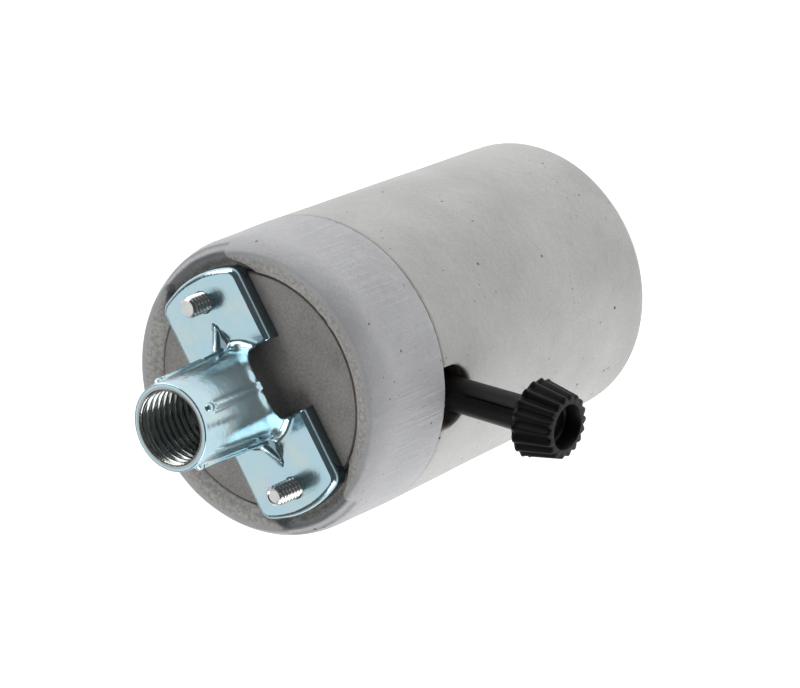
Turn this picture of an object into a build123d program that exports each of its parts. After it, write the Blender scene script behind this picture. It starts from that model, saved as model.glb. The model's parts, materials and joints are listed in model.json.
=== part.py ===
"""Porcelain turn-knob lampholder with a drawn steel bracket, in millimetres.

+Z runs along the lampholder's axis from the lamp mouth to the bracket's threaded barrel.
The origin is the centre of the mouth rim. The bracket's ears lie along X.
"""
from build123d import *
import os
from math import cos, radians, sin

os.makedirs("parts", exist_ok=True)

# ------------------------------------------------------------------ driving dimensions
# Porcelain envelope
body_radius = 25.0          # at the parting line between body and cap
mouth_radius = 23.75        # the skirt tapers towards the lamp mouth
skirt_length = 59.3         # mouth rim to parting line
mouth_edge_fillet = 1.8     # outer edge of the mouth rim
inner_edge_fillet = 0.6
cavity_radius = 20.8        # lamp cavity around the screw shell
web_thickness = 7.0         # between the lamp cavity and the switch chamber
chamber_radius = 20.5       # switch chamber, in body and cap alike
chamber_depth = 12.3        # web top to parting line

cap_height = 18.2           # parting line to rim crest
cap_side_height = 13.85     # straight outer side of the cap
crest_radius = 23.4         # outer edge of the rim's flat crest
crest_width = 2.2
crest_fall = 0.15           # the crest falls this much towards the recess
rim_inner_height = 17.0     # top of the recess wall, above the parting line
bevel_bulge = 0.35          # how far the cap's bevel bows out from a straight cone
chamber_ceiling = 11.2      # cap ceiling above the parting line
# Each rim notch's outline, recess to outside: (past the ear's end, beyond the ear's side)
notch_outline = [(-4.0, 1.4), (-2.0, 0.6), (0.6, -1.9), (2.2, -1.2), (4.6, 2.6)]
overrun = 1.0               # how far a cutter, or a boss inside a wall, runs past what it meets

# Fibre discs in the cap's recess
disc_radius = 19.5
disc_thickness = 0.8
disc_gap = 0.4              # disc edge to recess wall
disc_seat_height = 15.4     # recess floor above the parting line
wire_hole_radius = 2.2
wire_hole_pitch = 6.4       # between the two wire holes
wire_hole_offset = 3.0      # towards +Y

# Recess key groove
key_groove_radius = 1.7
key_groove_bearing = 284.0
key_groove_depth = 2.6      # below the recess floor

# Bracket
strap_length = 42.0
strap_width = 18.4
strap_height = 2.8          # turned-down edge, sheet included
sheet = 1.15
strap_bend_radius = 1.1
strap_corner_radius = 2.2
barrel_rim_height = 22.6    # barrel rim above the fibre disc
barrel_rim_radius = 7.3
barrel_root_radius = 7.9
barrel_flare_radius = 1.8
arch_radius = 6.3           # side arches under the barrel
arch_centre_height = 1.8    # above the fibre disc
pipe_minor_radius = 5.95    # 1/4-18 straight pipe thread
barrel_chamfer = 0.35
rib_width = 1.5
rib_proud = 0.55
rib_end_gap = 3.2           # rib end below the barrel rim
gusset_reach = 12.4         # gusset tip from the axis
gusset_height = 3.8
gusset_width = 1.0

# Machine screws, number 6 thread
screw_radius = 1.75
screw_clearance = 0.2
tapped_gap = 0.05           # radial, screw in a tapped hole
ear_screw_radius = 16.6     # long screws from the axis
screw_head_radius = 3.45
screw_head_height = 2.1
head_pocket_gap = 0.45      # around a sunk head
head_sink = 0.5             # a sunk head below its pocket's mouth
screw_projections = [4.0, 5.2]  # tips above the strap, +X ear first
screw_tip_chamfer = 0.45
boss_radius = 4.2

# Knob and switch spindle
knob_bearing = 234.0        # direction of the knob about Z, from X
knob_drop = 3.3             # spindle axis below the parting line
knob_shaft_radius = 2.95    # at the head
knob_shaft_inner_radius = 2.8
knob_shaft_start = 9.6      # all knob distances are from the lampholder's axis
knob_head_start = 39.6
knob_head_length = 7.0
knob_back_radius = 6.6
knob_front_radius = 5.35
knob_flutes = 18
flute_depth = 0.62
back_chamfer = 0.99         # reach of the bevel on the head's back edge
shaft_embed = 1.75          # the shaft's cone runs this far into the head
knob_recess_radius = 3.65
knob_recess_depth = 4.6
knob_bore_depth = 14.8
seam_width = 0.4
seam_depth = 0.35
seam_bearing = 62.0         # about the knob's axis, from sideways towards up
seam_inner = 27.0
seam_outer = 38.6
stem_radius = 1.6
stem_inner_end = 10.8       # beyond the axis, away from the knob
stem_outer_end = 24.0
stem_core = 2.4             # square middle of the spindle
running_gap = 0.04          # radial, spindle in its bearings
fixed_gap = 0.02            # radial, pieces pressed or moulded on the spindle
shaft_notch_half_width = 5.3
shaft_notch_depth = 6.8     # below the parting line

# Switch frame, rotor and springs
frame_half_length = 9.0
frame_half_width = 3.5
frame_sheet = 0.8
frame_lift = 2.0            # underside of the frame above the web
pad_length = 4.0
rotor_side = 7.4
rotor_half_length = 4.5
rotor_corner_radius = 0.5
bridge_thickness = 0.5
bridge_half_length = 2.0
bridge_half_width = 2.6
bridge_bar_radius = 0.45
bridge_bar_offset = 2.1
collar_radius = 2.6
collar_thickness = 0.8
side_gap = 0.1              # axial gap beside a moving collar or clip
clip_radius = 2.4
clip_thickness = 0.5
clip_groove_depth = 0.4
leaf_thickness = 0.35
leaf_width = 4.0
leaf_gap = 0.05             # leaf to the rotor's flat
leaf_rise = 4.0             # leaf top above the spindle axis
foot_reach = 12.0           # outer end of a leaf's foot from the spindle
index_width = 4.4

# Terminals
terminal_sheet = 1.2
terminal_width = 6.4
terminal_rise = 5.0
terminal_tab = 5.8
terminal_foot_gap = 0.35    # a foot's screw to the riser
terminal_head_radius = 3.0
terminal_head_height = 1.8
terminal_shank = 4.6
driver_slot_width = 0.9
driver_slot_depth = 0.8
rivet_radius = 1.0
rivet_head_radius = 1.8
rivet_head_height = 0.8
rivet_depth = 3.0
rivet_gap = 0.02
rivet_bearing_place = 10.0  # leaf rivets from the spindle, sideways
frame_rivet_place = 6.2     # frame rivets from the axis, along the spindle

# Lamp shell, mogul size
shell_sheet = 0.5
shell_minor_radius = 18.25
shell_major_radius = 19.9
shell_pitch = 6.35
shell_crest = 1.3           # length of the flat on a crest or in a groove
shell_neck = 8.0            # least length of the shell that carries no thread
shell_screw_end = 1.2       # shell screw beyond the terminal's foot
shell_edge_height = 5.0     # shell edge above the mouth rim
shell_floor_radius = 14.0
shell_floor_hole = 6.5
shell_floor_sheet = 0.6
shell_screw_place = 7.5     # both ways from the axis, square to the spindle

# Centre contact
cup_radius = 3.6
cup_sheet = 0.5
cup_drop = 1.4              # cup mouth below the web
cup_top = 6.2               # closed end above the web's underside
cup_flange_radius = 5.0
cup_tail_radius = 1.2
cup_tail_head_radius = 2.2
cup_tail_head_height = 0.8
plunger_radius = 2.1
plunger_gap = 0.1
plunger_flange_thickness = 1.0
plunger_reach = 3.6         # button tip below the web
plunger_pin_radius = 1.0
plunger_pin_length = 1.9
spring_wire_radius = 0.2
spring_radius = 2.35
spring_turns = 6
link_thickness = 0.5
link_width = 4.0

# ------------------------------------------------------------------ derived places
web_top = skirt_length - chamber_depth
web_bottom = web_top - web_thickness
crest_z = skirt_length + cap_height
disc_seat_z = skirt_length + disc_seat_height
disc_top_z = disc_seat_z + 2 * disc_thickness
strap_top_z = disc_top_z + strap_height
barrel_rim_z = disc_top_z + barrel_rim_height
arch_centre_z = disc_top_z + arch_centre_height
recess_radius = disc_radius + disc_gap
ceiling_z = skirt_length + chamber_ceiling
spindle_z = skirt_length - knob_drop
screw_hole_radius = screw_radius + screw_clearance
head_pocket_radius = screw_head_radius + head_pocket_gap
head_pocket_depth = head_sink + screw_head_height
screw_hole_depth = skirt_length - web_bottom
ear_places = [(ear_screw_radius, 0), (-ear_screw_radius, 0)]
boss_end = chamber_radius + overrun

knob_dir = Vector(cos(radians(knob_bearing)), sin(radians(knob_bearing)), 0)
side_dir = Vector(0, 0, 1).cross(knob_dir)
# Looking down the spindle from the knob: local X is sideways, local Y is up.
spindle = Plane(origin=(0, 0, spindle_z), x_dir=side_dir, z_dir=knob_dir)
# Web top: local X runs along the spindle towards the knob, local Y is sideways.
chamber = Plane(origin=(0, 0, web_top), x_dir=knob_dir, z_dir=(0, 0, 1))
cavity = Plane(origin=(0, 0, web_bottom), x_dir=knob_dir, z_dir=(0, 0, 1))
spindle_height = spindle_z - web_top
shell_screw_places = [(shell_screw_place, shell_screw_place), (-shell_screw_place, -shell_screw_place)]
wire_places = [(wire_hole_pitch / 2, wire_hole_offset), (-wire_hole_pitch / 2, wire_hole_offset)]
frame_rivet_places = [(frame_rivet_place, 0), (-frame_rivet_place, 0)]
leaf_rivet_places = [(0, rivet_bearing_place), (0, -rivet_bearing_place)]
leaf_inner = rotor_side / 2 + leaf_gap
cheek_height = rotor_side / 2 + leaf_gap
terminal_foot = 2 * (screw_radius + terminal_foot_gap)


def save(part, name):
    """Label a finished piece and write its STEP file."""
    part.label = name
    export_step(part, f"parts/{name}.step")


# ------------------------------------------------------------------ porcelain body
notch_centre = skirt_length - shaft_notch_depth + shaft_notch_half_width - spindle_z

with BuildPart() as porcelain_body:
    with BuildSketch(Plane.XZ):
        with BuildLine():
            Polyline(
                (cavity_radius, 0),
                (mouth_radius, 0),
                (body_radius, skirt_length),
                (chamber_radius, skirt_length),
                (chamber_radius, web_top),
                (0, web_top),
                (0, web_bottom),
                (cavity_radius, web_bottom),
                close=True,
            )
        make_face()
    revolve(axis=Axis.Z)
    mouth_edges = porcelain_body.edges().filter_by(GeomType.CIRCLE).group_by(Axis.Z)[0].sort_by(SortBy.RADIUS)
    fillet(mouth_edges[-1], mouth_edge_fillet)
    fillet(mouth_edges[0], inner_edge_fillet)
    with BuildSketch(Plane.XY.offset(web_top)):
        with Locations(*ear_places):
            Circle(boss_radius)
        for side in (1, -1):
            with Locations((side * (ear_screw_radius + boss_end) / 2, 0)):
                Rectangle(boss_end - ear_screw_radius, 2 * boss_radius)
    extrude(amount=skirt_length - web_top)
    with BuildSketch(chamber):
        with Locations(*frame_rivet_places):
            Rectangle(pad_length, 2 * frame_half_width)
    extrude(amount=frame_lift)
    with Locations(*[Plane(origin=(x, y, web_bottom), z_dir=(0, 0, -1)) for x, y in ear_places]):
        CounterBoreHole(screw_hole_radius, head_pocket_radius, head_pocket_depth, depth=screw_hole_depth)
    with BuildSketch(cavity):
        with Locations(*shell_screw_places):
            Circle(screw_hole_radius)
        Circle(cup_tail_radius + screw_clearance)
    extrude(amount=web_thickness, mode=Mode.SUBTRACT)
    with BuildSketch(cavity):
        Circle(cup_radius + fixed_gap)
    extrude(amount=cup_top + fixed_gap, mode=Mode.SUBTRACT)
    with BuildSketch(chamber):
        with Locations(*leaf_rivet_places):
            Circle(rivet_radius + rivet_gap)
    extrude(amount=-rivet_depth, mode=Mode.SUBTRACT)
    with BuildSketch(chamber.offset(frame_lift)):
        with Locations(*frame_rivet_places):
            Circle(rivet_radius + rivet_gap)
    extrude(amount=-rivet_depth - frame_lift, mode=Mode.SUBTRACT)
    with BuildSketch(spindle):
        with Locations((0, notch_centre)):
            Circle(shaft_notch_half_width)
        with Locations((0, notch_centre + shaft_notch_depth / 2)):
            Rectangle(2 * shaft_notch_half_width, shaft_notch_depth)
    extrude(amount=body_radius + overrun, mode=Mode.SUBTRACT)
save(porcelain_body.part, "porcelain_body")

# ------------------------------------------------------------------ porcelain cap
crest_inner_radius = crest_radius - crest_width
bevel_mid_radius = (body_radius + crest_radius) / 2 + bevel_bulge
bevel_mid = (bevel_mid_radius, skirt_length + (cap_side_height + cap_height) / 2)
ear_half = strap_width / 2
notch_floor_z = disc_seat_z + disc_thickness
ear_end = strap_length / 2
notch_side = [(ear_end + past, ear_half + beyond) for past, beyond in notch_outline]

with BuildPart() as porcelain_cap:
    with BuildSketch(Plane.XZ):
        with BuildLine():
            Polyline(
                (crest_radius, crest_z),
                (crest_inner_radius, crest_z - crest_fall),
                (recess_radius, skirt_length + rim_inner_height),
                (recess_radius, disc_seat_z),
                (0, disc_seat_z),
                (0, ceiling_z),
                (chamber_radius, ceiling_z),
                (chamber_radius, skirt_length),
                (body_radius, skirt_length),
                (body_radius, skirt_length + cap_side_height),
            )
            ThreePointArc((body_radius, skirt_length + cap_side_height), bevel_mid, (crest_radius, crest_z))
        make_face()
    revolve(axis=Axis.Z)
    crest_edges = porcelain_cap.edges().filter_by(GeomType.CIRCLE).group_by(Axis.Z)[-1]
    fillet(crest_edges, crest_width / 3)
    with BuildSketch(Plane.XY.offset(skirt_length)):
        with Locations(*ear_places):
            Circle(boss_radius)
        for side in (1, -1):
            with Locations((side * (ear_screw_radius + boss_end) / 2, 0)):
                Rectangle(boss_end - ear_screw_radius, 2 * boss_radius)
    extrude(amount=chamber_ceiling)
    # Rim notches for the strap's ears: wide at the recess, narrow at the crest, wide outside.
    with BuildSketch(Plane.XY.offset(notch_floor_z)):
        with BuildLine():
            Spline(*notch_side, tangents=[(1, 0), (1, 1)])
            Spline(*[(x, -y) for x, y in notch_side], tangents=[(1, 0), (1, -1)])
            Line(notch_side[0], (notch_side[0][0], -notch_side[0][1]))
            Line(notch_side[-1], (notch_side[-1][0], -notch_side[-1][1]))
        make_face()
        mirror(about=Plane.YZ)
    extrude(amount=cap_height, mode=Mode.SUBTRACT)
    with BuildSketch(Plane.XY.offset(disc_seat_z)):
        with Locations(*ear_places):
            Circle(screw_hole_radius)
        with Locations(*wire_places):
            Circle(wire_hole_radius)
    extrude(amount=skirt_length - disc_seat_z, mode=Mode.SUBTRACT)
    with BuildSketch(Plane.XY.offset(crest_z)):
        with PolarLocations(recess_radius, 1, start_angle=key_groove_bearing):
            Circle(key_groove_radius)
    extrude(amount=disc_seat_z - key_groove_depth - crest_z, mode=Mode.SUBTRACT)
save(porcelain_cap.part, "porcelain_cap")

# ------------------------------------------------------------------ fibre discs
for index, name in enumerate(("inner_fibre_disc", "outer_fibre_disc")):
    with BuildPart() as fibre_disc:
        with BuildSketch(Plane.XY.offset(disc_seat_z + index * disc_thickness)):
            Circle(disc_radius)
            with Locations(*ear_places):
                Circle(screw_hole_radius, mode=Mode.SUBTRACT)
            with Locations(*wire_places):
                Circle(wire_hole_radius, mode=Mode.SUBTRACT)
        extrude(amount=disc_thickness)
    save(fibre_disc.part, name)

# ------------------------------------------------------------------ bracket
strap_under_z = strap_top_z - sheet
flare_start = barrel_root_radius + barrel_flare_radius
flare_top_z = strap_top_z + barrel_flare_radius
rib_inner_radius = (pipe_minor_radius + barrel_rim_radius) / 2

with BuildPart() as bracket:
    with BuildSketch(Plane.XY.offset(disc_top_z)):
        Circle(strap_length / 2)
        Rectangle(strap_length, strap_width, mode=Mode.INTERSECT)
        fillet(vertices(), strap_corner_radius)
    extrude(amount=strap_height)
    fillet(faces().sort_by(Axis.Z)[-1].edges(), strap_bend_radius)
    with BuildSketch(Plane.XY.offset(disc_top_z)):
        Circle(strap_length / 2 - sheet)
        Rectangle(strap_length, strap_width - 2 * sheet, mode=Mode.INTERSECT)
        fillet(vertices(), strap_corner_radius - sheet)
    extrude(amount=strap_height - sheet, mode=Mode.SUBTRACT)
    # Barrel, flared into the strap.
    with BuildSketch(Plane.XZ):
        with BuildLine():
            wall = Line((barrel_rim_radius, barrel_rim_z), (barrel_root_radius, flare_top_z))
            flare = RadiusArc(wall @ 1, (flare_start, strap_top_z), -barrel_flare_radius)
            Polyline(
                flare @ 1,
                (flare_start, strap_under_z),
                (pipe_minor_radius, strap_under_z),
                (pipe_minor_radius, barrel_rim_z),
                wall @ 0,
            )
        make_face()
    revolve(axis=Axis.Z)
    # The flare ends at the strap's long edges.
    with BuildSketch(Plane.XY.offset(strap_under_z)):
        for side in (1, -1):
            with Locations((0, side * (strap_width / 2 + barrel_flare_radius))):
                Rectangle(strap_length, 2 * barrel_flare_radius)
    extrude(amount=barrel_flare_radius, mode=Mode.SUBTRACT)
    # Ribs up the barrel, two in line with the ears and two over the arches.
    for plane in (Plane.XZ, Plane.YZ):
        with BuildSketch(plane):
            with BuildLine():
                Polyline(
                    (rib_inner_radius, strap_top_z),
                    (barrel_root_radius + rib_proud, strap_top_z),
                    (barrel_rim_radius + rib_proud, barrel_rim_z - rib_end_gap),
                    (rib_inner_radius, barrel_rim_z - rib_end_gap),
                    close=True,
                )
            make_face()
            mirror(about=Plane.YZ)
        extrude(amount=rib_width / 2, both=True)
    # Gussets from the barrel down onto the ears.
    with BuildSketch(Plane.XZ):
        with BuildLine():
            Polyline(
                (barrel_rim_radius, strap_top_z - sheet / 2),
                (gusset_reach, strap_top_z - sheet / 2),
                (gusset_reach, strap_top_z),
                (barrel_rim_radius, strap_top_z + gusset_height),
                close=True,
            )
        make_face()
        mirror(about=Plane.YZ)
    extrude(amount=gusset_width / 2, both=True)
    with BuildSketch(Plane.XY.offset(disc_top_z)):
        Circle(pipe_minor_radius)
    extrude(amount=barrel_rim_height, mode=Mode.SUBTRACT)
    with BuildSketch(Plane.XZ):
        with Locations((0, arch_centre_z)):
            Circle(arch_radius)
    extrude(amount=strap_width, both=True, mode=Mode.SUBTRACT)
    with BuildSketch(Plane.XY.offset(disc_top_z)):
        with Locations(*ear_places):
            Circle(screw_radius + tapped_gap)
    extrude(amount=strap_height, mode=Mode.SUBTRACT)
    rim_inner_edge = edges().filter_by(GeomType.CIRCLE).group_by(Axis.Z)[-1].sort_by(SortBy.RADIUS)[0]
    chamfer(rim_inner_edge, barrel_chamfer)
save(bracket.part, "bracket")


# ------------------------------------------------------------------ screws and rivets
def axis_of(plane):
    """The axis that a plane's normal lies on."""
    return Axis(plane.origin, plane.z_dir)


def slotted_screws(plane, places, head_radius, head_height, shank_lengths):
    """Slotted screws whose heads stand on the plane's normal side and whose shanks go the other way."""
    with BuildPart() as screws:
        with BuildSketch(plane):
            with Locations(*places):
                Circle(head_radius)
        extrude(amount=head_height)
        head_edges = screws.edges().filter_by(GeomType.CIRCLE).group_by(axis_of(plane))[-1]
        fillet(head_edges, head_height / 3)
        for place, shank_length in zip(places, shank_lengths):
            with BuildSketch(plane):
                with Locations(place):
                    Circle(screw_radius)
            extrude(amount=-shank_length)
            new_circles = screws.edges(Select.LAST).filter_by(GeomType.CIRCLE)
            chamfer(new_circles.group_by(axis_of(plane))[0], screw_tip_chamfer)
        with BuildSketch(plane.offset(head_height)):
            with Locations(*places):
                Rectangle(2 * (head_radius + overrun), driver_slot_width)
        extrude(amount=-driver_slot_depth, mode=Mode.SUBTRACT)
    return screws.part


def round_rivets(plane, places):
    """Round-headed rivets with blind shanks."""
    with BuildPart() as rivets:
        with BuildSketch(plane):
            with Locations(*places):
                Circle(rivet_head_radius)
        extrude(amount=rivet_head_height)
        fillet(rivets.edges().filter_by(GeomType.CIRCLE).group_by(axis_of(plane))[-1], rivet_head_height / 2)
        with BuildSketch(plane):
            with Locations(*places):
                Circle(rivet_radius)
        extrude(amount=-rivet_depth)
    return rivets.part


head_seat = Plane(origin=(0, 0, web_bottom + head_pocket_depth), x_dir=(1, 0, 0), z_dir=(0, 0, -1))
seat_to_strap = strap_top_z - web_bottom - head_pocket_depth
long_shanks = [seat_to_strap + projection for projection in screw_projections]
save(slotted_screws(head_seat, ear_places, screw_head_radius, screw_head_height, long_shanks), "long_screws")

# ------------------------------------------------------------------ knob and shaft
head_back = spindle.offset(knob_head_start)
head_front = spindle.offset(knob_head_start + knob_head_length)


def fluted_outline(tip_radius):
    """Points of a ring of V flutes, tip first."""
    points = []
    for step in range(2 * knob_flutes):
        radius = tip_radius if step % 2 == 0 else tip_radius - flute_depth
        angle = radians(180 * step / knob_flutes)
        points.append((radius * cos(angle), radius * sin(angle)))
    return points


with BuildPart() as knob:
    with BuildSketch(head_back):
        Polygon(*fluted_outline(knob_back_radius), align=None)
    with BuildSketch(head_front):
        Polygon(*fluted_outline(knob_front_radius), align=None)
    loft()
    with BuildSketch(head_back):
        Circle(knob_back_radius + overrun)
        Circle(knob_back_radius - back_chamfer, mode=Mode.SUBTRACT)
    extrude(amount=flute_depth, taper=-45, mode=Mode.SUBTRACT)
    with BuildSketch(spindle.offset(knob_shaft_start)):
        Circle(knob_shaft_inner_radius)
    with BuildSketch(head_back.offset(shaft_embed)):
        Circle(knob_shaft_radius)
    loft()
    with BuildSketch(head_front):
        Circle(knob_recess_radius)
    extrude(amount=-knob_recess_depth, mode=Mode.SUBTRACT)
    with BuildSketch(spindle.offset(knob_shaft_start)):
        Circle(stem_radius + fixed_gap)
    extrude(amount=knob_bore_depth, mode=Mode.SUBTRACT)
    with BuildSketch(spindle.offset(seam_inner)):
        with PolarLocations(knob_shaft_radius, 1, start_angle=seam_bearing):
            Rectangle(2 * seam_depth, seam_width)
    extrude(amount=seam_outer - seam_inner, mode=Mode.SUBTRACT)
save(knob.part, "knob")

# ------------------------------------------------------------------ spindle, clip, rotor and bridge
cheek_inside = frame_half_length - frame_sheet
clip_place = frame_half_length + side_gap
clip_groove_radius = stem_radius - clip_groove_depth

with BuildPart() as switch_stem:
    with BuildSketch(spindle.offset(-stem_inner_end)):
        Circle(stem_radius)
    extrude(amount=stem_inner_end + stem_outer_end)
    with BuildSketch(spindle.offset(-rotor_half_length)):
        Circle(stem_radius + overrun)
        Rectangle(stem_core, stem_core, mode=Mode.SUBTRACT)
    extrude(amount=2 * rotor_half_length, mode=Mode.SUBTRACT)
    with BuildSketch(spindle.offset(-cheek_inside + side_gap)):
        Circle(collar_radius)
    extrude(amount=collar_thickness)
    with BuildSketch(spindle.offset(-clip_place - clip_thickness)):
        Circle(stem_radius + overrun)
        Circle(clip_groove_radius, mode=Mode.SUBTRACT)
    extrude(amount=clip_thickness, mode=Mode.SUBTRACT)
save(switch_stem.part, "switch_stem")

with BuildPart() as stem_clip:
    with BuildSketch(spindle.offset(-clip_place - clip_thickness)):
        Circle(clip_radius)
        Circle(clip_groove_radius + fixed_gap, mode=Mode.SUBTRACT)
        with Locations((0, clip_radius)):
            Rectangle(2 * clip_groove_radius, 2 * clip_radius, mode=Mode.SUBTRACT)
    extrude(amount=clip_thickness)
save(stem_clip.part, "stem_clip")

bridge_face = rotor_side / 2 - bridge_thickness

with BuildPart() as rotor:
    with BuildSketch(spindle.offset(-rotor_half_length)):
        RectangleRounded(rotor_side, rotor_side, rotor_corner_radius)
        Rectangle(stem_core + 2 * fixed_gap, stem_core + 2 * fixed_gap, mode=Mode.SUBTRACT)
    extrude(amount=2 * rotor_half_length)
    pocket_half_width = bridge_half_width + fixed_gap
    with BuildSketch(spindle.offset(-bridge_half_length - fixed_gap)):
        for side in (1, -1):
            with Locations((0, side * (bridge_face + bridge_thickness - fixed_gap))):
                Rectangle(2 * pocket_half_width, 2 * bridge_thickness)
    extrude(amount=2 * (bridge_half_length + fixed_gap), mode=Mode.SUBTRACT)
    with BuildSketch(Plane(origin=spindle.origin, x_dir=knob_dir, z_dir=(0, 0, 1))):
        with Locations((0, bridge_bar_offset)):
            Circle(bridge_bar_radius + fixed_gap)
    extrude(amount=rotor_side, both=True, mode=Mode.SUBTRACT)
save(rotor.part, "rotor")

with BuildPart() as rotor_contact:
    with BuildSketch(spindle.offset(-bridge_half_length)):
        for side in (1, -1):
            with Locations((0, side * (bridge_face + bridge_thickness / 2))):
                Rectangle(2 * bridge_half_width, bridge_thickness)
    extrude(amount=2 * bridge_half_length)
    with BuildSketch(Plane(origin=spindle.origin, x_dir=knob_dir, z_dir=(0, 0, 1))):
        with Locations((0, bridge_bar_offset)):
            Circle(bridge_bar_radius)
    extrude(amount=bridge_face + bridge_thickness / 2, both=True)
save(rotor_contact.part, "rotor_contact")

# ------------------------------------------------------------------ switch frame and springs
frame_base_z = frame_lift + frame_sheet

with BuildPart() as switch_frame:
    with BuildSketch(chamber.offset(frame_lift)):
        Rectangle(2 * frame_half_length, 2 * frame_half_width)
    extrude(amount=frame_sheet)
    with BuildSketch(chamber.offset(frame_base_z)):
        for side in (1, -1):
            with Locations((side * (frame_half_length - frame_sheet / 2), 0)):
                Rectangle(frame_sheet, 2 * frame_half_width)
    extrude(amount=spindle_height + cheek_height - frame_base_z)
    with BuildSketch(spindle):
        Circle(stem_radius + running_gap)
    extrude(amount=frame_half_length + overrun, both=True, mode=Mode.SUBTRACT)
    with BuildSketch(chamber.offset(frame_lift)):
        with Locations(*frame_rivet_places):
            Circle(rivet_radius + rivet_gap)
    extrude(amount=frame_sheet, mode=Mode.SUBTRACT)
save(switch_frame.part, "switch_frame")

save(round_rivets(chamber.offset(frame_base_z), frame_rivet_places), "frame_rivets")

index_reach = frame_half_length + side_gap + leaf_thickness
index_under = spindle_height + cheek_height
index_hook = cheek_height - clip_radius - side_gap

with BuildPart() as index_spring:
    with BuildSketch(chamber.offset(index_under)):
        Rectangle(2 * index_reach, index_width)
    extrude(amount=leaf_thickness)
    with BuildSketch(chamber.offset(index_under)):
        for side in (1, -1):
            with Locations((side * (index_reach - leaf_thickness / 2), 0)):
                Rectangle(leaf_thickness, index_width)
    extrude(amount=-index_hook)
save(index_spring.part, "index_spring")


def leaf_spring(side, name, base):
    """A leaf that stands beside the rotor on a foot that runs outwards to its rivet."""
    with BuildPart() as leaf:
        with BuildSketch(chamber.offset(base)):
            with Locations((0, side * (leaf_inner + foot_reach) / 2)):
                Rectangle(leaf_width, foot_reach - leaf_inner)
        extrude(amount=leaf_thickness)
        with BuildSketch(chamber.offset(base)):
            with Locations((0, side * (leaf_inner + leaf_thickness / 2))):
                Rectangle(leaf_width, leaf_thickness)
        extrude(amount=spindle_height + leaf_rise - base)
        with BuildSketch(chamber.offset(base)):
            with Locations((0, side * rivet_bearing_place)):
                Circle(rivet_radius + rivet_gap)
        extrude(amount=leaf_thickness, mode=Mode.SUBTRACT)
    save(leaf.part, name)


leaf_spring(1, "line_contact_spring", 0)
leaf_spring(-1, "load_contact_spring", link_thickness)

# ------------------------------------------------------------------ terminals


def terminal(plane, hole_radius, name):
    """Z-shaped plate: a foot at the plane's origin, a riser, and a tab that holds the wire's screw."""
    foot_end = terminal_foot / 2
    with BuildPart() as plate:
        with BuildSketch(plane):
            Rectangle(terminal_foot, terminal_width)
            Circle(hole_radius, mode=Mode.SUBTRACT)
        extrude(amount=terminal_sheet)
        with BuildSketch(plane):
            with Locations((foot_end + terminal_sheet / 2, 0)):
                Rectangle(terminal_sheet, terminal_width)
        extrude(amount=terminal_rise + terminal_sheet)
        with BuildSketch(plane.offset(terminal_rise)):
            with Locations((foot_end + terminal_sheet + terminal_tab / 2, 0)):
                Rectangle(terminal_tab, terminal_width)
            with Locations((tab_centre, 0)):
                Circle(screw_radius + tapped_gap, mode=Mode.SUBTRACT)
        extrude(amount=terminal_sheet)
    save(plate.part, name)
    head_plane = plane.offset(terminal_rise + terminal_sheet)
    place = (tab_centre, 0)
    screw = slotted_screws(head_plane, [place], terminal_head_radius, terminal_head_height, [terminal_shank])
    save(screw, name + "_screw")


tab_centre = terminal_foot / 2 + terminal_sheet + terminal_tab / 2
line_foot = Plane(
    origin=chamber.offset(leaf_thickness).from_local_coords(Vector(0, rivet_bearing_place, 0)),
    x_dir=side_dir,
    z_dir=(0, 0, 1),
)
neutral_foot = Plane(
    origin=chamber.from_local_coords(Vector(-shell_screw_place, -shell_screw_place, 0)),
    x_dir=-knob_dir,
    z_dir=(0, 0, 1),
)
terminal(line_foot, rivet_radius + rivet_gap, "line_terminal")
terminal(neutral_foot, screw_radius + tapped_gap, "neutral_terminal")

with BuildPart() as contact_rivets:
    line_head = chamber.offset(leaf_thickness + terminal_sheet)
    load_head = chamber.offset(leaf_thickness + link_thickness)
    for side, head_plane in ((1, line_head), (-1, load_head)):
        with BuildSketch(head_plane):
            with Locations((0, side * rivet_bearing_place)):
                Circle(rivet_head_radius)
        extrude(amount=rivet_head_height)
        with BuildSketch(chamber.offset(-rivet_depth)):
            with Locations((0, side * rivet_bearing_place)):
                Circle(rivet_radius)
        extrude(until=Until.NEXT)
save(contact_rivets.part, "contact_rivets")

# ------------------------------------------------------------------ lamp shell and its screws
shell_floor_z = web_bottom - shell_floor_sheet
shell_turns = int((web_bottom - shell_edge_height - shell_neck) / shell_pitch)
ramp = (shell_pitch - 2 * shell_crest) / 2
thread_points = [(shell_major_radius, shell_edge_height)]
thread_z = shell_edge_height + shell_crest
for turn in range(shell_turns):
    thread_points.append((shell_major_radius, thread_z))
    thread_points.append((shell_minor_radius, thread_z + ramp))
    thread_points.append((shell_minor_radius, thread_z + ramp + shell_crest))
    thread_points.append((shell_major_radius, thread_z + 2 * ramp + shell_crest))
    thread_z += shell_pitch
thread_points.append((shell_major_radius, thread_z))
thread_points.append((shell_minor_radius, thread_z + ramp))
thread_points.append((shell_floor_radius, shell_floor_z))
thread_points.append((shell_floor_hole, shell_floor_z))
outer_points = [(radius + shell_sheet, z) for radius, z in thread_points[:-2]]
outer_points.append((shell_floor_radius + shell_sheet, web_bottom))
outer_points.append((shell_floor_hole, web_bottom))

with BuildPart() as screw_shell:
    with BuildSketch(Plane.XZ):
        with BuildLine():
            Polyline(*thread_points, *reversed(outer_points), close=True)
        make_face()
    revolve(axis=Axis.Z)
    with BuildSketch(cavity):
        with Locations(*shell_screw_places):
            Circle(screw_hole_radius)
    extrude(amount=-shell_floor_sheet, mode=Mode.SUBTRACT)
save(screw_shell.part, "screw_shell")

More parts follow.
